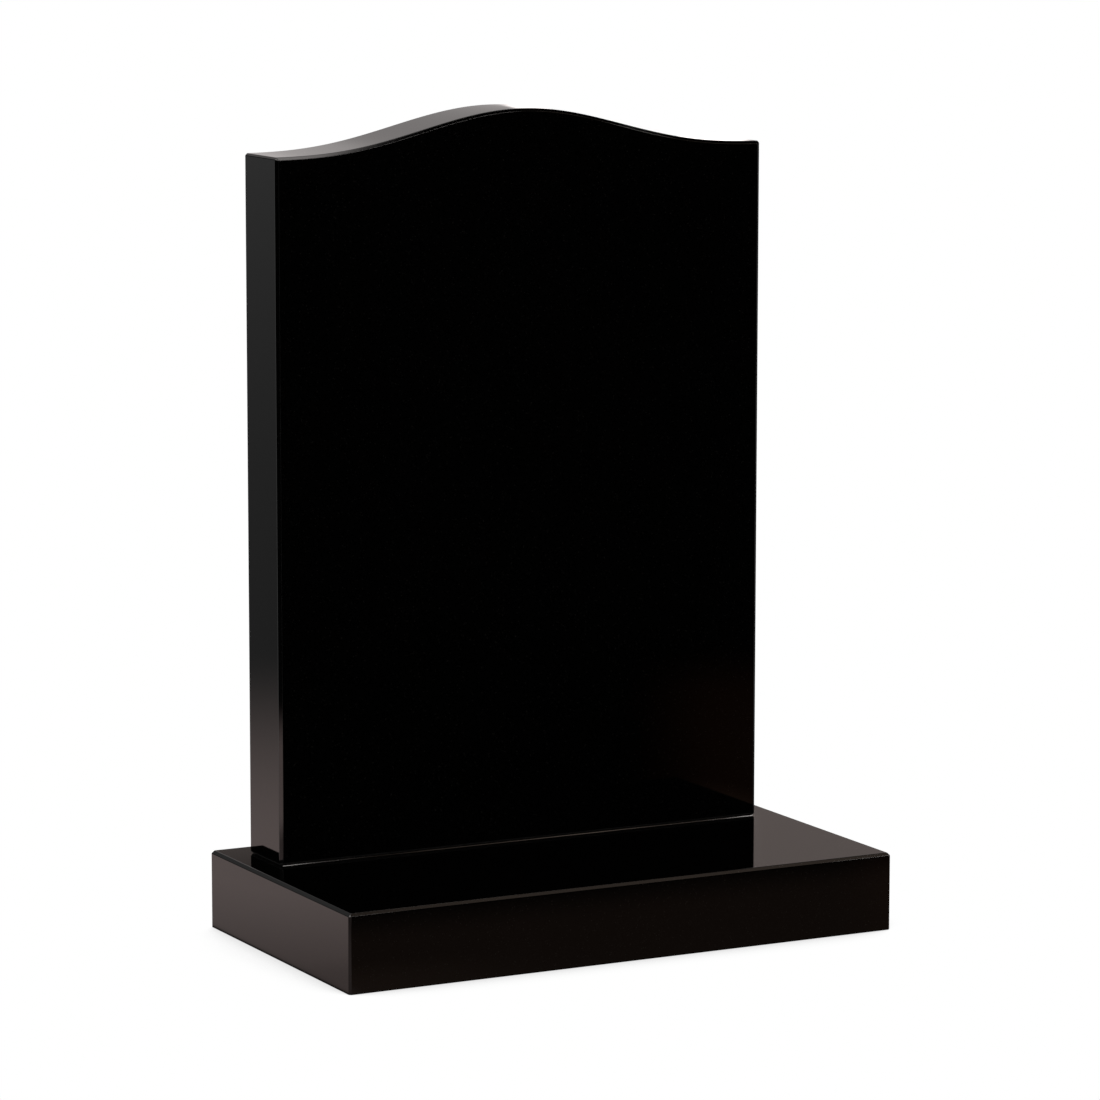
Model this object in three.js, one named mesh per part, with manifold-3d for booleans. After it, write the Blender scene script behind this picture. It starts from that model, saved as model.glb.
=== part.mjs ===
// Lawn memorial: an upright tablet with a swept ogee top, standing on a low slab base.
// Millimetres, +Z up, and the front faces -Y.
// The origin is on the ground, under the middle of the base.

import * as THREE from 'three';
import { mergeVertices } from 'three/addons/utils/BufferGeometryUtils.js';
import Module from 'manifold-3d';

const wasm = await Module();
wasm.setup();

// Tablet, measured from its own foot
const tabletWidth = 550;
const tabletThickness = 76;
const shoulderHeight = 711;
const crownRise = 41;

// Base, whose ledges are what it shows around the tablet's foot
const baseHeight = 80;
const sideLedge = 30;
const rearLedge = 30;
const frontLedge = 224;

// The 45 degree cut that takes the sharpness off the edges of each slab's two faces,
// and how much of it the corners of the outline get. The base's underside is left square.
const arris = 3;
const cornerShare = 0.7;

// Thin bed between the base and the tablet that stands on it
const bedJoint = 0.3;

// How far past the tablet's corners the sweep of its top would run out level,
// and the straight steps that it is drawn in
const sweepOverrun = 14;
const sweepSteps = 64;

// Polished black granite
const graniteColour = 0x0b0a0a;
const polishRoughness = 0.06;

const baseWidth = tabletWidth + 2 * sideLedge;
const baseDepth = frontLedge + tabletThickness + rearLedge;
const sweepReach = tabletWidth / 2 + sweepOverrun;
const tabletBack = baseDepth / 2 - rearLedge;
const tabletFoot = baseHeight + bedJoint;
const cornerArris = arris * cornerShare;

function polishedGranite() {
  return new THREE.MeshStandardMaterial({
    color: graniteColour,
    roughness: polishRoughness,
    metalness: 0,
  });
}

function stone(name, geometry) {
  const mesh = new THREE.Mesh(geometry, polishedGranite());
  mesh.name = name;
  return mesh;
}

// A slab of one thickness, with its arrises cut inside the outline, so the sizes stay true
function slab(outline, thickness) {
  const geometry = new THREE.ExtrudeGeometry(outline, {
    depth: thickness - 2 * arris,
    bevelEnabled: true,
    bevelThickness: arris,
    bevelSize: arris,
    bevelOffset: -arris,
    bevelSegments: 1,
  });
  return geometry.translate(0, 0, arris);
}

function solidOf(geometry) {
  const bare = geometry.clone();
  bare.deleteAttribute('normal');
  bare.deleteAttribute('uv');
  const merged = mergeVertices(bare);
  return new wasm.Manifold(new wasm.Mesh({
    numProp: 3,
    vertProperties: merged.attributes.position.array,
    triVerts: merged.index.array,
  }));
}

// Takes the waste off a blank
function sawn(blank, waste) {
  const { vertProperties, triVerts } = solidOf(blank).subtract(solidOf(waste)).getMesh();
  const geometry = new THREE.BufferGeometry();
  geometry.setAttribute('position', new THREE.BufferAttribute(vertProperties, 3));
  geometry.setIndex(new THREE.BufferAttribute(triVerts, 1));
  return geometry;
}

// Height of the top edge over the foot: a cubed cosine, a round crown that sweeps out into level shoulders
function topHeight(x) {
  const turn = Math.PI / 2 * x / sweepReach;
  return shoulderHeight + crownRise * Math.cos(turn) ** 3;
}

// Front view of the tablet, drawn in X and height, anticlockwise from the foot
function tabletOutline() {
  const side = tabletWidth / 2;
  const topSide = side - cornerArris;
  const outline = new THREE.Shape();
  outline.moveTo(-side + cornerArris, 0);
  outline.lineTo(side - cornerArris, 0);
  outline.lineTo(side, cornerArris);
  outline.lineTo(side, shoulderHeight - cornerArris);
  for (let step = 0; step <= sweepSteps; step += 1) {
    const x = topSide * (1 - 2 * step / sweepSteps);
    outline.lineTo(x, topHeight(x));
  }
  outline.lineTo(-side, shoulderHeight - cornerArris);
  outline.lineTo(-side, cornerArris);
  outline.closePath();
  return outline;
}

// Plan of the base, a rectangle about the origin with its corners taken off
function baseOutline() {
  const side = baseWidth / 2;
  const face = baseDepth / 2;
  const outline = new THREE.Shape();
  outline.moveTo(-side + cornerArris, -face);
  outline.lineTo(side - cornerArris, -face);
  outline.lineTo(side, -face + cornerArris);
  outline.lineTo(side, face - cornerArris);
  outline.lineTo(side - cornerArris, face);
  outline.lineTo(-side + cornerArris, face);
  outline.lineTo(-side, face - cornerArris);
  outline.lineTo(-side, -face + cornerArris);
  outline.closePath();
  return outline;
}

// The base is cut from a thicker blank, sawn off above the arrises of its underside
function makeBase() {
  const blank = slab(baseOutline(), baseHeight + arris).translate(0, 0, -arris);
  const waste = new THREE.BoxGeometry(2 * baseWidth, 2 * baseDepth, 2 * arris).translate(0, 0, -arris);
  return stone('base', sawn(blank, waste));
}

// The tablet is drawn lying on its back and stood up, with its thickness running towards the front
function makeTablet() {
  const tablet = stone('tablet', slab(tabletOutline(), tabletThickness));
  tablet.rotation.x = Math.PI / 2;
  tablet.position.set(0, tabletBack, tabletFoot);
  return tablet;
}

const headstone = new THREE.Group();
headstone.add(makeBase(), makeTablet());

export default headstone;
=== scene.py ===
"""Lawn memorial in polished black granite: a tablet with a swept top, standing on a slab base.

Metres, +Z up, and the front faces -Y. The origin is on the ground, under the middle of the base.
"""

import math

import bmesh
import bpy
from mathutils import Matrix, Vector


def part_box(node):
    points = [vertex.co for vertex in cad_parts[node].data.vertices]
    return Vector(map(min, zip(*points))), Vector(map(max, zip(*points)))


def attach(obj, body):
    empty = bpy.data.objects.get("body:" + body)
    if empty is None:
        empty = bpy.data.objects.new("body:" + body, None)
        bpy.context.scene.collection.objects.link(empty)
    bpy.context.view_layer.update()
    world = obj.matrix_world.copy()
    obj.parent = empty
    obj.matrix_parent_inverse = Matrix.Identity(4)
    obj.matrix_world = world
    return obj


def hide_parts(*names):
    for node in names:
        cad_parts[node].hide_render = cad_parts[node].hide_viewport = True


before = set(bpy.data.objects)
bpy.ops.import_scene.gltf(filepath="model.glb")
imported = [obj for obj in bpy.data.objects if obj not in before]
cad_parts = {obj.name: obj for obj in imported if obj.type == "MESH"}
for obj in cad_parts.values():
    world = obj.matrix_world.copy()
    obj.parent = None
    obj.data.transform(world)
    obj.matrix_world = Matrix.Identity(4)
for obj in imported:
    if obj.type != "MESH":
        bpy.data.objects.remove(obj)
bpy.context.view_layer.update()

# What the boxes of the two stones don't say about them
CROWN_RISE = 0.041
SWEEP_OVERRUN = 0.014
ARRIS = 0.003
CORNER_SHARE = 0.7
SWEEP_STEPS = 160
BASE_STEPS = 1

# How the slab's parts are joined up, and told apart by where they are and which way they run or face
WELD_DISTANCE = 0.00001
NEARLY_HALF = 0.49
MOSTLY_ALONG = 0.5
FACING_DOWN = -0.9

# The bead of fixing compound in the open wedge under the tablet's front arris
BEAD_SETBACK = 0.0009
BEAD_RISE = 0.0010
BEAD_BULGE = 0.00001
BEAD_STEPS = 6

# The edges of a polished arris, which are never knife sharp
EDGE_ROUND = 0.0005
EDGE_STEPS = 3
SHARP_ANGLE = math.radians(30)

# Polished granite
GRANITE_IOR = 1.55
CRYSTAL_SIZE = 0.0009
CLOUD_SCALE = 9.0
CLOUD_DETAIL = 3.0
GREY_RARITY = 3.0
CLEAR_OF_CLOUDS = 0.5
FLECK_THRESHOLD = 0.988
CRYSTAL_BLACK = (0.0012, 0.0011, 0.0011, 1)
CRYSTAL_GREY = (0.0090, 0.0083, 0.0080, 1)
FLECK_GREY = (0.036, 0.033, 0.030, 1)
POLISH_ROUGHNESS = 0.030
CRYSTAL_ROUGHNESS = 0.018
CLOUD_ROUGHNESS = 0.012

# Sawn granite
SAWN_DARK = (0.045, 0.044, 0.043, 1)
SAWN_PALE = (0.120, 0.116, 0.112, 1)
SAWN_ROUGHNESS = 0.55
SAW_MARK_ROUGHNESS = 0.2
SAW_MARKS_ACROSS = 260.0
SAW_MARKS_ALONG = 4.0
SAW_MARK_DEPTH = 0.0002

# Fixing compound
COMPOUND_DARK = (0.010, 0.009, 0.008, 1)
COMPOUND_PALE = (0.030, 0.026, 0.023, 1)
COMPOUND_ROUGHNESS = 0.05
STROKE_ROUGHNESS = 0.03
STROKE_SCALE = 60.0
STROKE_DETAIL = 2.0

# Camera
CAMERA_AIM = Vector((-0.0015, -0.0008, 0.3908))
CAMERA_DISTANCE = 4.9594
CAMERA_AZIMUTH = math.radians(-27.642)
CAMERA_ELEVATION = math.radians(8.662)
CAMERA_ROLL = math.radians(0.067)
CAMERA_LENS = 160.84
CAMERA_SENSOR = 36.0

# Studio
FLOOR_REACH = 40.0
FLOOR_LIGHT = 1.55
SHADOW_REACH = 0.35
SHADOW_SAMPLES = 16
MATT_LIGHT = 0.1
BACK_CARD_CORNER = (-0.6, 3.0, 0.1)
BACK_CARD_SIZE = (5.0, 3.0)
TOP_CARD_CORNER = (-3.0, -2.0, 2.2)
TOP_CARD_SIZE = (6.0, 3.5)

# Colours of the lights
WHITE = (1.0, 1.0, 1.0)
PINKISH = (1.0, 0.78, 0.74)
BROWN = (1.0, 0.66, 0.50)
EMBER = (1.0, 0.40, 0.20)
ROSE_GREY = (1.0, 0.84, 0.79)
WARM_WHITE = (1.11, 1.045, 1.03)
AMBER = (1.0, 0.79, 0.65)
PEARL = (1.0, 0.95, 0.92)


class Wire:
    """An output socket that can be written in sums, in a material or in a shape tree."""

    def __init__(self, bench, socket):
        self.bench = bench
        self.socket = socket

    def __getitem__(self, name):
        """Another output of the same node."""
        return Wire(self.bench, pick(self.socket.node.outputs, name))

    def __add__(self, other):
        return self.bench.sum("ADD", self, other)

    def __radd__(self, other):
        return self.bench.sum("ADD", other, self)

    def __sub__(self, other):
        return self.bench.sum("SUBTRACT", self, other)

    def __rsub__(self, other):
        return self.bench.sum("SUBTRACT", other, self)

    def __mul__(self, other):
        return self.bench.sum("MULTIPLY", self, other)

    def __rmul__(self, other):
        return self.bench.sum("MULTIPLY", other, self)

    def __truediv__(self, other):
        return self.bench.sum("DIVIDE", self, other)

    def __rtruediv__(self, other):
        return self.bench.sum("DIVIDE", other, self)

    def __pow__(self, other):
        return self.bench.sum("POWER", self, other)

    def __neg__(self):
        return self.bench.sum("MULTIPLY", self, -1.0)

    def __abs__(self):
        return self.bench.sum("ABSOLUTE", self)

    def __gt__(self, other):
        return self.bench.sum("GREATER_THAN", self, other)

    def __lt__(self, other):
        return self.bench.sum("LESS_THAN", self, other)


def pick(sockets, key):
    """The socket in use with that name, or in that place."""
    if isinstance(key, int):
        return sockets[key]
    return next(socket for socket in sockets if socket.name == key and socket.enabled)


class Bench:
    """A node tree, and the one way in which nodes are put into it."""

    def __init__(self, tree):
        self.tree = tree

    def add(self, kind, settings=None, sockets=None, output=0):
        """Adds a node, makes its settings, gives its sockets their values or links, and returns an output."""
        node = self.tree.nodes.new(kind)
        for name, value in (settings or {}).items():
            setattr(node, name, value)
        for name, value in (sockets or {}).items():
            socket = pick(node.inputs, name)
            wires = value if isinstance(value, list) else [value]
            if not isinstance(wires[0], Wire):
                socket.default_value = value
                continue
            for wire in wires:
                self.tree.links.new(wire.socket, socket)
        return Wire(self, pick(node.outputs, output)) if node.outputs else None

    def sum(self, operation, *terms):
        return self.add("ShaderNodeMath", {"operation": operation}, dict(enumerate(terms)))

    def vector(self, x, y, z):
        return self.add("ShaderNodeCombineXYZ", {}, {"X": x, "Y": y, "Z": z})

    def parts(self, vector):
        """The x, y and z of a vector."""
        split = self.add("ShaderNodeSeparateXYZ", {}, {"Vector": vector})
        return split["X"], split["Y"], split["Z"]

    def held(self, value, low, high):
        return self.add("ShaderNodeClamp", {}, {"Value": value, "Min": low, "Max": high})

    def rise(self, value, start, end):
        """0 before start, 1 after end, and a soft step between them. Start may be past end."""
        sockets = {"Value": value, "From Min": start, "From Max": end, "To Min": 0.0, "To Max": 1.0}
        return self.add("ShaderNodeMapRange", {"interpolation_type": "SMOOTHSTEP"}, sockets)

    def within(self, value, *edges):
        """1 where the value is past every soft edge. An edge is its dark end and its bright end."""
        share = 1.0
        for dark, bright in edges:
            share = share * self.rise(value, dark, bright)
        return share

    def hill(self, *terms):
        """A round hill of height 1. Each term is a value, its middle and its half width."""
        squares = [((value - middle) / width) ** 2 for value, middle, width in terms]
        return self.sum("EXPONENT", -sum(squares[1:], squares[0]))

    def tint(self, amount, colour):
        """A colour in that strength."""
        sockets = {0: colour, "Scale": amount}
        return self.add("ShaderNodeVectorMath", {"operation": "SCALE"}, sockets, "Vector")

    def both(self, first, second):
        """Two colours or vectors added up."""
        return self.add("ShaderNodeVectorMath", {"operation": "ADD"}, {0: first, 1: second}, "Vector")

    def mixed(self, share, first, second):
        """A colour between two, at that share."""
        sockets = {"Factor": share, "A": first, "B": second}
        return self.add("ShaderNodeMix", {"data_type": "RGBA"}, sockets, "Result")


# Finishes


def finish(name):
    """An empty material and its bench."""
    material = bpy.data.materials.new(name)
    material.use_nodes = True
    material.node_tree.nodes.clear()
    return material, Bench(material.node_tree)


def polished_granite():
    """Fine black granite with a mirror polish: near black crystals, a few greyer ones and rare flecks."""
    material, bench = finish("polished black granite")
    place = bench.add("ShaderNodeTexCoord", output="Object")
    crystals = bench.add("ShaderNodeTexVoronoi", {}, {"Vector": place, "Scale": 1 / CRYSTAL_SIZE}, "Color")
    kinds = bench.add("ShaderNodeSeparateColor", {}, {"Color": crystals})
    sockets = {"Vector": place, "Scale": CLOUD_SCALE, "Detail": CLOUD_DETAIL}
    clouds = bench.add("ShaderNodeTexNoise", {}, sockets)
    greyness = kinds["Red"] ** GREY_RARITY * (CLEAR_OF_CLOUDS + clouds)
    stone = bench.mixed(greyness, CRYSTAL_BLACK, CRYSTAL_GREY)
    shader = {
        "Base Color": bench.mixed(kinds["Green"] > FLECK_THRESHOLD, stone, FLECK_GREY),
        "Roughness": POLISH_ROUGHNESS + CRYSTAL_ROUGHNESS * kinds["Blue"] + CLOUD_ROUGHNESS * clouds,
        "IOR": GRANITE_IOR,
    }
    surface = bench.add("ShaderNodeBsdfPrincipled", {}, shader)
    bench.add("ShaderNodeOutputMaterial", {}, {"Surface": surface})
    return material


def sawn_granite():
    """The undersides, left as the saw cut them: dull mid grey with faint straight marks."""
    material, bench = finish("sawn black granite")
    place = bench.add("ShaderNodeTexCoord", output="Object")
    crystals = bench.add("ShaderNodeTexVoronoi", {}, {"Vector": place, "Scale": 1 / CRYSTAL_SIZE}, "Color")
    kind = bench.add("ShaderNodeSeparateColor", {}, {"Color": crystals}, "Red")
    across, along, up = bench.parts(place)
    drawn_out = bench.vector(across * SAW_MARKS_ACROSS, along * SAW_MARKS_ALONG, up)
    strokes = bench.add("ShaderNodeTexNoise", {}, {"Vector": drawn_out})
    shader = {
        "Base Color": bench.mixed(kind * strokes, SAWN_DARK, SAWN_PALE),
        "Roughness": SAWN_ROUGHNESS + SAW_MARK_ROUGHNESS * strokes,
        "IOR": GRANITE_IOR,
        "Normal": bench.add("ShaderNodeBump", {}, {"Height": strokes, "Distance": SAW_MARK_DEPTH}),
    }
    surface = bench.add("ShaderNodeBsdfPrincipled", {}, shader)
    bench.add("ShaderNodeOutputMaterial", {}, {"Surface": surface})
    return material


def fixing_compound():
    """The compound that beds the tablet: nearly black, smooth from the finger that pressed it in."""
    material, bench = finish("fixing compound")
    place = bench.add("ShaderNodeTexCoord", output="Object")
    sockets = {"Vector": place, "Scale": STROKE_SCALE, "Detail": STROKE_DETAIL}
    strokes = bench.add("ShaderNodeTexNoise", {}, sockets)
    shader = {
        "Base Color": bench.mixed(strokes, COMPOUND_DARK, COMPOUND_PALE),
        "Roughness": COMPOUND_ROUGHNESS + STROKE_ROUGHNESS * strokes,
        "IOR": GRANITE_IOR,
    }
    surface = bench.add("ShaderNodeBsdfPrincipled", {}, shader)
    bench.add("ShaderNodeOutputMaterial", {}, {"Surface": surface})
    return material


# Stones

SLAB_SIZES = {
    "Width": "NodeSocketFloat",
    "Shoulder Height": "NodeSocketFloat",
    "Thickness": "NodeSocketFloat",
    "Crown Rise": "NodeSocketFloat",
    "Sweep Overrun": "NodeSocketFloat",
    "Corner Share": "NodeSocketFloat",
    "Rear Share": "NodeSocketFloat",
    "Sweep Steps": "NodeSocketInt",
    "Lean": "NodeSocketFloat",
    "Place": "NodeSocketVector",
    "Polished": "NodeSocketMaterial",
    "Sawn": "NodeSocketMaterial",
}


def slab_face(bench, given):
    """The slab's front as upright strips, under a round crown that sweeps out into level shoulders."""
    columns = given["Sweep Steps"] + 1
    sockets = {"Size X": given["Width"], "Size Y": 1.0, "Vertices X": columns, "Vertices Y": 2}
    strips = bench.add("GeometryNodeMeshGrid", {}, sockets, "Mesh")
    x, up, _ = bench.parts(bench.add("GeometryNodeInputPosition"))
    reach = given["Width"] * 0.5 + given["Sweep Overrun"]
    crown = given["Crown Rise"] * bench.sum("COSINE", x / reach * (math.pi / 2)) ** 3
    z = (up + 0.5) * (given["Shoulder Height"] + crown)
    place = bench.vector(x, given["Thickness"] * 0.5, z)
    return bench.add("GeometryNodeSetPosition", {}, {"Geometry": strips, "Position": place})


def arris_shares(bench, given, body):
    """Marks how wide each edge is cut: in full round the front, by a share at the rear and the corners."""
    ends = bench.add("GeometryNodeInputMeshEdgeVertices")
    middle = (bench.parts(ends["Position 1"])[1] + bench.parts(ends["Position 2"])[1]) * 0.5
    is_rear = middle > given["Thickness"] * NEARLY_HALF
    run = bench.add(
        "ShaderNodeVectorMath", {"operation": "SUBTRACT"}, {0: ends["Position 1"], 1: ends["Position 2"]}
    )
    run = bench.add("ShaderNodeVectorMath", {"operation": "NORMALIZE"}, {0: run})
    is_corner = abs(bench.parts(run)[1]) > MOSTLY_ALONG
    is_sharp = bench.add("GeometryNodeInputMeshEdgeAngle", output="Unsigned Angle") > SHARP_ANGLE
    at_corner = 1 - is_corner * (1 - given["Corner Share"])
    at_rear = 1 - is_rear * (1 - given["Rear Share"])
    share = is_sharp * at_corner * at_rear
    sockets = {"Geometry": body, "Name": "bevel_weight_edge", "Value": share}
    return bench.add("GeometryNodeStoreNamedAttribute", {"data_type": "FLOAT", "domain": "EDGE"}, sockets)


def slab_tree():
    """Shape tree of a slab: its front is drawn, cut to its thickness, turned and put in its place."""
    tree = bpy.data.node_groups.new("slab", "GeometryNodeTree")
    for name, kind in SLAB_SIZES.items():
        tree.interface.new_socket(name, in_out="INPUT", socket_type=kind)
    tree.interface.new_socket("Geometry", in_out="OUTPUT", socket_type="NodeSocketGeometry")
    bench = Bench(tree)
    given = bench.add("NodeGroupInput")
    face = slab_face(bench, given)
    cut = {"Mesh": face, "Offset": bench.vector(0, -given["Thickness"], 0), "Individual": False}
    front = bench.add("GeometryNodeExtrudeMesh", {"mode": "FACES"}, cut, "Mesh")
    back = bench.add("GeometryNodeFlipFaces", {}, {"Mesh": face})
    body = bench.add("GeometryNodeJoinGeometry", {}, {"Geometry": [front, back]})
    body = bench.add("GeometryNodeMergeByDistance", {}, {"Geometry": body, "Distance": WELD_DISTANCE})
    body = arris_shares(bench, given, body)
    body = bench.add("GeometryNodeSetShadeSmooth", {}, {"Geometry": body, "Shade Smooth": True})
    turn = bench.vector(given["Lean"], 0, 0)
    body = bench.add(
        "GeometryNodeTransform", {}, {"Geometry": body, "Translation": given["Place"], "Rotation": turn}
    )
    body = bench.add("GeometryNodeRealizeInstances", {}, {"Geometry": body})
    body = bench.add("GeometryNodeSetMaterial", {}, {"Geometry": body, "Material": given["Polished"]})
    is_under = bench.parts(bench.add("GeometryNodeInputNormal"))[2] < FACING_DOWN
    sockets = {"Geometry": body, "Selection": is_under, "Material": given["Sawn"]}
    body = bench.add("GeometryNodeSetMaterial", {}, sockets)
    bench.add("NodeGroupOutput", {}, {"Geometry": body})
    return tree


def cut_arrises(blank):
    """Cuts the 45 degree arrises, then takes the sharpness off their own edges."""
    arris = blank.modifiers.new("arris", "BEVEL")
    arris.limit_method = "WEIGHT"
    arris.width = ARRIS
    arris.segments = 1
    arris.use_clamp_overlap = False
    rounded = blank.modifiers.new("rounded edges", "BEVEL")
    rounded.limit_method = "ANGLE"
    rounded.angle_limit = SHARP_ANGLE
    rounded.width = EDGE_ROUND
    rounded.segments = EDGE_STEPS
    rounded.use_clamp_overlap = False
    rounded.harden_normals = True


def make_stone(name, tree, sizes):
    """One stone as a plain mesh, with its place in the mesh."""
    blank = bpy.data.objects.new(name, bpy.data.meshes.new(name + " blank"))
    bpy.context.scene.collection.objects.link(blank)
    shape = blank.modifiers.new("slab", "NODES")
    shape.node_group = tree
    for item in tree.interface.items_tree:
        if item.in_out == "INPUT":
            shape[item.identifier] = sizes[item.name]
    cut_arrises(blank)
    depsgraph = bpy.context.evaluated_depsgraph_get()
    mesh = bpy.data.meshes.new_from_object(blank.evaluated_get(depsgraph), depsgraph=depsgraph)
    mesh.name = name
    blank.modifiers.clear()
    blank.data = mesh
    return blank


def make_tablet(tree, finishes):
    """The upright stone, drawn as it stands."""
    low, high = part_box("tablet")
    size = high - low
    sizes = {
        "Width": size.x,
        "Shoulder Height": size.z - CROWN_RISE,
        "Thickness": size.y,
        "Crown Rise": CROWN_RISE,
        "Sweep Overrun": SWEEP_OVERRUN,
        "Corner Share": CORNER_SHARE,
        "Rear Share": 1.0,
        "Sweep Steps": SWEEP_STEPS,
        "Lean": 0.0,
        "Place": ((low.x + high.x) / 2, (low.y + high.y) / 2, low.z),
    }
    tablet = make_stone("memorial_tablet", tree, sizes | finishes)
    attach(tablet, "root")
    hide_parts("tablet")


def make_base(tree, finishes):
    """The stone below, drawn standing on its front edge and laid back, so that its face looks up."""
    low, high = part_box("base")
    size = high - low
    sizes = {
        "Width": size.x,
        "Shoulder Height": size.y,
        "Thickness": size.z,
        "Crown Rise": 0.0,
        "Sweep Overrun": 0.0,
        "Corner Share": CORNER_SHARE,
        "Rear Share": 0.0,
        "Sweep Steps": BASE_STEPS,
        "Lean": -math.pi / 2,
        "Place": ((low.x + high.x) / 2, low.y, (low.z + high.z) / 2),
    }
    base = make_stone("memorial_base", tree, sizes | finishes)
    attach(base, "root")
    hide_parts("base")


def make_bead():
    """The compound's bead along the front of the tablet's foot, from the base's top up to the arris."""
    low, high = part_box("tablet")
    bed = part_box("base")[1].z
    toe = Vector((low.y + BEAD_SETBACK, bed))
    lip = Vector((low.y + ARRIS - BEAD_RISE, low.z + BEAD_RISE))
    across = lip - toe
    outward = Vector((-across.y, across.x)).normalized()
    section = [Vector((low.y + ARRIS, bed))]
    for step in range(BEAD_STEPS + 1):
        share = step / BEAD_STEPS
        section.append(toe + across * share + outward * (BEAD_BULGE * math.sin(math.pi * share)))
    section.append(Vector((low.y + ARRIS, low.z)))
    ends = (low.x + ARRIS, high.x - ARRIS)
    points = [(x, place.x, place.y) for x in ends for place in section]
    count = len(section)
    sides = [(i, i + count, (i + 1) % count + count, (i + 1) % count) for i in range(count)]
    mesh = bpy.data.meshes.new("fixing_bead")
    mesh.from_pydata(points, [], sides + [tuple(range(count)), tuple(range(2 * count - 1, count - 1, -1))])
    mesh.materials.append(fixing_compound())
    bead = bpy.data.objects.new("fixing_bead", mesh)
    bpy.context.scene.collection.objects.link(bead)
    mend = bmesh.new()
    mend.from_mesh(mesh)
    bmesh.ops.recalc_face_normals(mend, faces=mend.faces)
    mend.to_mesh(mesh)
    mend.free()
    mesh.shade_smooth()
    mesh.set_sharp_from_angle(angle=SHARP_ANGLE)
    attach(bead, "root")


# Studio


def plane(name, corner, along, across, material):
    """A flat stage piece from one corner and its two sides."""
    corner, along, across = Vector(corner), Vector(along), Vector(across)
    mesh = bpy.data.meshes.new(name)
    mesh.from_pydata([corner, corner + along, corner + along + across, corner + across], [], [(0, 1, 2, 3)])
    mesh.materials.append(material)
    card = bpy.data.objects.new(name, mesh)
    bpy.context.scene.collection.objects.link(card)
    return card


def only_in_reflections(card):
    """The polish mirrors the card, and nothing else in the picture is lit or hidden by it."""
    card.visible_camera = False
    card.visible_diffuse = False
    card.visible_transmission = False
    card.visible_volume_scatter = False
    card.visible_shadow = False


def glow(name, paint):
    """A material that shines in the colour that paint gives for each place."""
    material, bench = finish(name)
    material.cycles.emission_sampling = "NONE"
    place = bench.add("ShaderNodeTexCoord", output="Object")
    colour = paint(bench, *bench.parts(place))
    surface = bench.add("ShaderNodeEmission", {}, {"Color": colour, "Strength": 1.0})
    bench.add("ShaderNodeOutputMaterial", {}, {"Surface": surface})
    return material


def floor_with_painted_shadow(bench, x, y, z):
    """Evenly bright white, with a painted shadow: a little greyer close to what stands on it."""
    settings = {"samples": SHADOW_SAMPLES}
    # Painted shadow: the floor's glow is dimmed by how shut in it is by the stones, within the shadow reach.
    openness = bench.add("ShaderNodeAmbientOcclusion", settings, {"Distance": SHADOW_REACH}, "AO")
    return bench.tint(bench.held(openness * FLOOR_LIGHT, 0.0, 1.0), WHITE)


# The floor as the upright faces mirror it. An edge is its dark end and its bright end, in metres.
POOL_MIDDLE = -0.3
POOL_LIGHT = 0.475
POOL_RIM = (1.8, 0.5)
POOL_FRONT = (-0.35, 0.0)
POOL_LEVEL = 0.0625
POOL_TO_THE_LEFT = 1.9
POOL_TO_THE_BACK = 0.62
POOL_MOST = 1.05
CORNER_LIGHT = 0.25
CORNER_RIM = (0.6, 0.3)
CORNER_BACK = (-0.05, -0.25)
RING_INSIDE = (0.42, 0.6)
RING_OUTSIDE = (1.3, 0.95)
RING_BACK = (0.0, -0.2)
LEFT_OF_STONE = (-0.28, -0.32)

FAR_LIGHT = 0.072
FAR_GAIN = 0.0106
FAR_FRONT = (-0.3, 0.3)
FAR_RIGHT = (0.4, -0.3)
SIDE_LIGHT = 0.8
SIDE_SLANT = -0.33
SIDE_SPREAD = 0.33
SIDE_START = (0.5, 1.1)
BEHIND_LIGHT = 0.35
BEHIND_SLANT = 0.5
BEHIND_SPREAD = 0.35
BEHIND_START = (0.4, 0.9)

FRONT_LIGHT = 0.078
FRONT_NEAR = (-0.53, -0.34)
FRONT_RIGHT = (0.56, 0.46)
BY_CORNER_LIGHT = 0.045
BY_CORNER_RIGHT = (-0.05, -0.3)
BY_CORNER_BACK = (-0.3, -0.2)
RIGHT_OF_CORNER = (-0.32, -0.28)
IN_FRONT_OF_STONE = (-0.12, -0.16)
GLIMMER_LIGHT = 0.04
GLIMMER_SLANT = 0.53
GLIMMER_LEFT = (0.15, 0.3)
GLIMMER_NEAR = (-1.3, -0.9)
SHADOW_AT_FOOT = (0.0, 0.006)


def light_at_left(bench, x, y, from_pool):
    """On the floor beside the left faces: a pool, more of it by the front corner, and a ring farther out."""
    level = bench.held(POOL_LEVEL - POOL_TO_THE_LEFT * x + POOL_TO_THE_BACK * y, 0.0, POOL_MOST)
    pool = POOL_LIGHT * level * bench.rise(from_pool, *POOL_RIM) * bench.rise(y, *POOL_FRONT)
    corner = CORNER_LIGHT * bench.rise(from_pool, *CORNER_RIM) * bench.rise(y, *CORNER_BACK)
    ring = bench.within(from_pool, RING_INSIDE, RING_OUTSIDE) * bench.rise(y, *RING_BACK)
    return (pool + corner + ring) * bench.rise(x, *LEFT_OF_STONE)


def light_around(bench, x, y, from_pool):
    """On the floor farther off: beyond the left faces, out to both sides, and behind."""
    far = (FAR_LIGHT + FAR_GAIN * from_pool) * bench.rise(y, *FAR_FRONT) * bench.rise(x, *FAR_RIGHT)
    sides = SIDE_LIGHT * bench.hill((y / x, SIDE_SLANT, SIDE_SPREAD)) * bench.rise(abs(x), *SIDE_START)
    behind = BEHIND_LIGHT * bench.hill((x / y, BEHIND_SLANT, BEHIND_SPREAD)) * bench.rise(y, *BEHIND_START)
    return far + sides + behind


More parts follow.
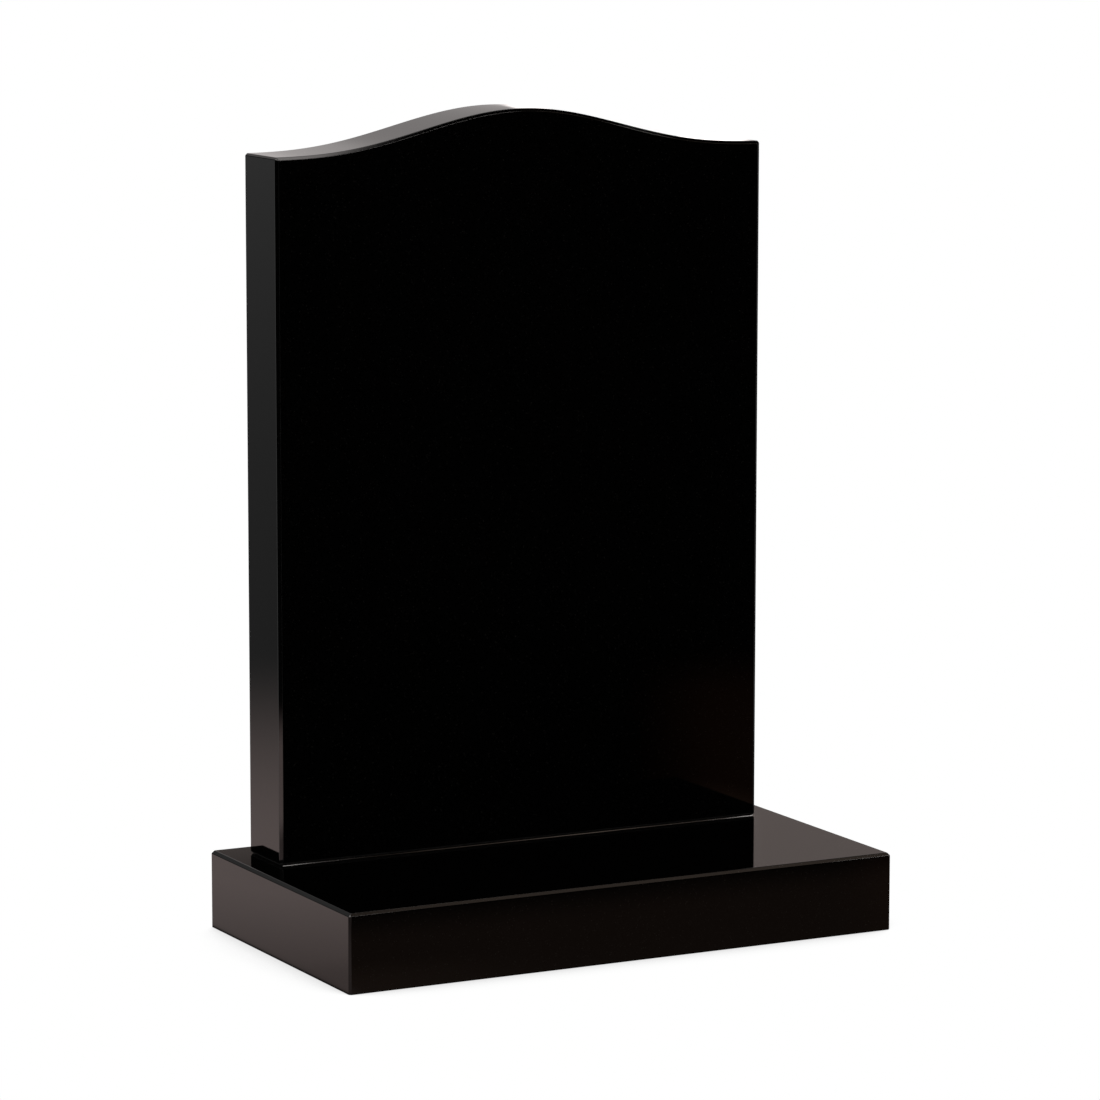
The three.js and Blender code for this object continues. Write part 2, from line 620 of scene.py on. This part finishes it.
def brown_in_front(bench, x, y):
    """On the floor before the front of the base, and by its left corner."""
    in_front = FRONT_LIGHT * bench.rise(y, *FRONT_NEAR) * bench.rise(x, *FRONT_RIGHT)
    by_corner = BY_CORNER_LIGHT * bench.rise(x, *BY_CORNER_RIGHT) * bench.rise(y, *BY_CORNER_BACK)
    return (in_front + by_corner) * bench.rise(x, *RIGHT_OF_CORNER) * bench.rise(y, *IN_FRONT_OF_STONE)


def ember_at_right(bench, x, y):
    """On the floor to the right front: a glimmer in the lower right of the tablet's face."""
    glimmer = GLIMMER_LIGHT * bench.rise(x + GLIMMER_SLANT * y, *GLIMMER_LEFT)
    return glimmer * bench.within(y, GLIMMER_NEAR, IN_FRONT_OF_STONE)


def mirrored_floor(bench, x, y, z):
    """What the upright faces mirror, painted light: a warm pool of light to the left, near dark in front, and
    a painted shadow round the base's foot.
    """
    _, corner_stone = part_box("base")
    beside = bench.sum("MAXIMUM", abs(x) - corner_stone.x, abs(y) - corner_stone.y)
    from_pool = bench.sum("SQRT", (x - POOL_MIDDLE) ** 2 + y ** 2)
    light = bench.tint(light_at_left(bench, x, y, from_pool), PINKISH)
    light = bench.both(light, bench.tint(light_around(bench, x, y, from_pool), WHITE))
    light = bench.both(light, bench.tint(brown_in_front(bench, x, y), BROWN))
    light = bench.both(light, bench.tint(ember_at_right(bench, x, y), EMBER))
    # Painted shadow: the mirrored floor goes dark within 6 mm of the base's outline, as if in the shade under
    # its foot.
    return bench.tint(bench.rise(beside, *SHADOW_AT_FOOT), light)


# The light behind, which the level faces mirror
LOW_LIGHT = 0.09
LOW_GAIN = 0.18
LOW_GAIN_LEFT = (1.2, 1.9)
FOOT_LIGHT = 0.055
FOOT_TOP = (0.785, 0.742)
FOOT_BOTTOM = (0.64, 0.70)
FOOT_RIGHT = (1.2, 1.1)
HIGH_LIGHT = 0.30
SHOULDER_GAIN = 0.11
SHOULDER_LEFT = (0.6, 0.9)
CROWN_GAIN = 0.13
CROWN_RIGHT = (1.2, 1.0)
CROWN_TOP = (1.62, 1.4)
LEVEL_GAIN = 0.09
LEVEL_TOP = (1.15, 1.0)
STEP_AT_LEFT = (0.82, 1.0)
STEP_AT_RIGHT = (0.9, 1.05)
STEP_TURN = (1.6, 1.9)
CARD_TOP = (2.9, 2.1)
CARD_BOTTOM = (0.2, 0.5)
SLIT_LIGHT = 1.7
SLIT_LEFT = (1.47, 1.53)
SLIT_RIGHT = (1.97, 1.94)


def back_light(bench, x, y, z):
    """A large soft light behind and to the right: rosier and dimmer low down, and one bright upright slit."""
    beside_foot = FOOT_LIGHT * bench.within(z, FOOT_TOP, FOOT_BOTTOM) * bench.rise(x, *FOOT_RIGHT)
    low = LOW_LIGHT + beside_foot + LOW_GAIN * bench.rise(x, *LOW_GAIN_LEFT)
    crown = CROWN_GAIN * bench.rise(x, *CROWN_RIGHT) * bench.rise(z, *CROWN_TOP)
    high = HIGH_LIGHT + SHOULDER_GAIN * bench.rise(x, *SHOULDER_LEFT) + crown
    high = high + LEVEL_GAIN * bench.rise(z, *LEVEL_TOP)
    step = bench.rise(z, *STEP_AT_LEFT) * (1 - bench.rise(x, *STEP_TURN)) + bench.rise(z, *STEP_AT_RIGHT)
    share = bench.held(step, 0.0, 1.0)
    light = (low + (high - low) * share) * bench.within(z, CARD_TOP, CARD_BOTTOM)
    slit = SLIT_LIGHT * bench.within(x, SLIT_LEFT, SLIT_RIGHT)
    return bench.both(
        bench.tint(light * (1 - share), ROSE_GREY),
        bench.tint(light * share + slit, WARM_WHITE),
    )


# The lights overhead, which the arrises and the bead mirror
AMBER_LIGHT = 0.41
AMBER_LEFT = (0.35, 0.95)
AMBER_RIGHT = (2.2, 1.5)
AMBER_FRONT = (-0.84, -0.76)
AMBER_BACK = (-0.3, -0.45)
STRIP_BACK = (-0.76, -0.82)
STRIP_FRONT = (-1.1, -1.02)
STRIP_LIGHT = 0.14
STRIP_GAIN = 0.42
STRIP_GAIN_LEFT = (0.94, 1.02)
STRIP_SWELL = 0.85
SWELL_MIDDLE = 1.28
SWELL_SPREAD = 0.09
LEFT_END_LIGHT = 4.8
LEFT_END_EDGE = (0.81, 0.77)
LEFT_END_HALO = 0.6
LEFT_END_HALO_EDGE = (0.90, 0.80)
RIGHT_END_LIGHT = 11.0
RIGHT_END_EDGE = (1.535, 1.60)
RIGHT_END_LIMIT = (1.9, 1.8)
CREST_LIGHT = 2.6
CREST_SLANT = 0.3
CREST_FRONT = (-0.215, -0.175)
CREST_BACK = (0.3, 0.1)
REAR_LIGHT = 0.5
REAR_FRONT = (0.4, 0.6)
REAR_BACK = (1.4, 1.0)
REAR_SIDES = (0.5, 0.35)


def over_bead(bench, x):
    """How bright the strip is that the bead mirrors: dim and uneven between two bright ends."""
    swell = STRIP_SWELL * bench.hill((x, SWELL_MIDDLE, SWELL_SPREAD))
    middle = STRIP_LIGHT + STRIP_GAIN * bench.rise(x, *STRIP_GAIN_LEFT) + swell
    halo = LEFT_END_HALO * bench.rise(x, *LEFT_END_HALO_EDGE)
    left_end = LEFT_END_LIGHT * bench.rise(x, *LEFT_END_EDGE)
    right_end = RIGHT_END_LIGHT * bench.within(x, RIGHT_END_EDGE, RIGHT_END_LIMIT)
    return middle, halo + left_end + right_end


def top_light(bench, x, y, z):
    """Soft lights overhead: amber in front, a strip for the bead, a bright one to the left and one behind."""
    amber = AMBER_LIGHT * bench.within(x, AMBER_LEFT, AMBER_RIGHT) * bench.within(y, AMBER_FRONT, AMBER_BACK)
    strip = bench.within(y, STRIP_BACK, STRIP_FRONT)
    middle, ends = over_bead(bench, x)
    crest = CREST_LIGHT * bench.rise(y - CREST_SLANT * x, *CREST_FRONT) * bench.rise(y, *CREST_BACK)
    rear = REAR_LIGHT * bench.within(y, REAR_FRONT, REAR_BACK) * bench.rise(abs(x), *REAR_SIDES)
    return bench.both(
        bench.tint(amber + middle * strip, AMBER),
        bench.tint(crest + rear + ends * strip, PEARL),
    )


# The room as the polish mirrors it, by direction
RIGHT_FRONT_X = 0.46
RIGHT_FRONT_Y = -0.89
ROOM_BEHIND = 0.16
BEHIND_SIDE = (0.5, 0.0)
BEHIND_HEIGHT = (0.2, 0.35)
ROOM_AHEAD = 0.22
AHEAD_SIDE = (0.2, 0.7)
AHEAD_RIGHT = (0.35, 0.2)
AHEAD_HEIGHT = (0.05, 0.3)


def studio_world():
    """White to the camera, dim to the matt part of the stone, and a dark room to its polish."""
    world = bpy.data.worlds.new("studio")
    world.use_nodes = True
    world.node_tree.nodes.clear()
    bench = Bench(world.node_tree)
    x, y, z = bench.parts(bench.add("ShaderNodeTexCoord", output="Generated"))
    to_right_front = RIGHT_FRONT_X * x + RIGHT_FRONT_Y * y
    behind = ROOM_BEHIND * bench.rise(to_right_front, *BEHIND_SIDE) * bench.rise(z, *BEHIND_HEIGHT)
    ahead = ROOM_AHEAD * bench.rise(-y, *AHEAD_SIDE) * bench.rise(x, *AHEAD_RIGHT)
    room = behind + ahead * bench.rise(z, *AHEAD_HEIGHT)
    ray = bench.add("ShaderNodeLightPath")
    matt = (MATT_LIGHT, MATT_LIGHT, MATT_LIGHT, 1)
    sky = bench.mixed(ray["Is Glossy Ray"], matt, bench.vector(room, room, room))
    sky = bench.mixed(ray["Is Camera Ray"], sky, (*WHITE, 1))
    surface = bench.add("ShaderNodeBackground", {}, {"Color": sky, "Strength": 1.0})
    bench.add("ShaderNodeOutputWorld", {}, {"Surface": surface})
    bpy.context.scene.world = world


def make_studio():
    """Floor, lights and surroundings."""
    reach = FLOOR_REACH
    corner, along, across = (-reach, -reach, 0), (2 * reach, 0, 0), (0, 2 * reach, 0)
    floor = plane("floor", corner, along, across, glow("white floor", floor_with_painted_shadow))
    floor.visible_diffuse = False
    floor.visible_glossy = False
    floor.visible_shadow = False
    mirrored = plane("mirrored_floor", corner, along, across, glow("mirrored floor", mirrored_floor))
    wide, high = BACK_CARD_SIZE
    back = plane("back_light", BACK_CARD_CORNER, (wide, 0, 0), (0, 0, high), glow("back light", back_light))
    wide, deep = TOP_CARD_SIZE
    top = plane("top_light", TOP_CARD_CORNER, (wide, 0, 0), (0, deep, 0), glow("top light", top_light))
    for card in (mirrored, back, top):
        only_in_reflections(card)
    studio_world()
    bpy.context.scene.view_settings.view_transform = "Standard"


def make_camera():
    """A long lens from the left front, a little above the middle of the stone."""
    level = math.cos(CAMERA_ELEVATION)
    back = Vector(
        (
            math.sin(CAMERA_AZIMUTH) * level,
            -math.cos(CAMERA_AZIMUTH) * level,
            math.sin(CAMERA_ELEVATION),
        )
    )
    right = Vector((math.cos(CAMERA_AZIMUTH), math.sin(CAMERA_AZIMUTH), 0.0))
    up = back.cross(right)
    turn = Matrix.Rotation(CAMERA_ROLL, 3, back)
    axes = Matrix((turn @ right, turn @ up, back)).transposed()
    lens = bpy.data.cameras.new("camera")
    lens.lens = CAMERA_LENS
    lens.sensor_width = CAMERA_SENSOR
    camera = bpy.data.objects.new("camera", lens)
    camera.matrix_world = Matrix.Translation(CAMERA_AIM + back * CAMERA_DISTANCE) @ axes.to_4x4()
    bpy.context.scene.collection.objects.link(camera)
    bpy.context.scene.camera = camera


def make_memorial():
    """The two stones, and the bead of compound between them."""
    tree = slab_tree()
    finishes = {"Polished": polished_granite(), "Sawn": sawn_granite()}
    make_base(tree, finishes)
    make_tablet(tree, finishes)
    make_bead()


make_memorial()
make_studio()
make_camera()
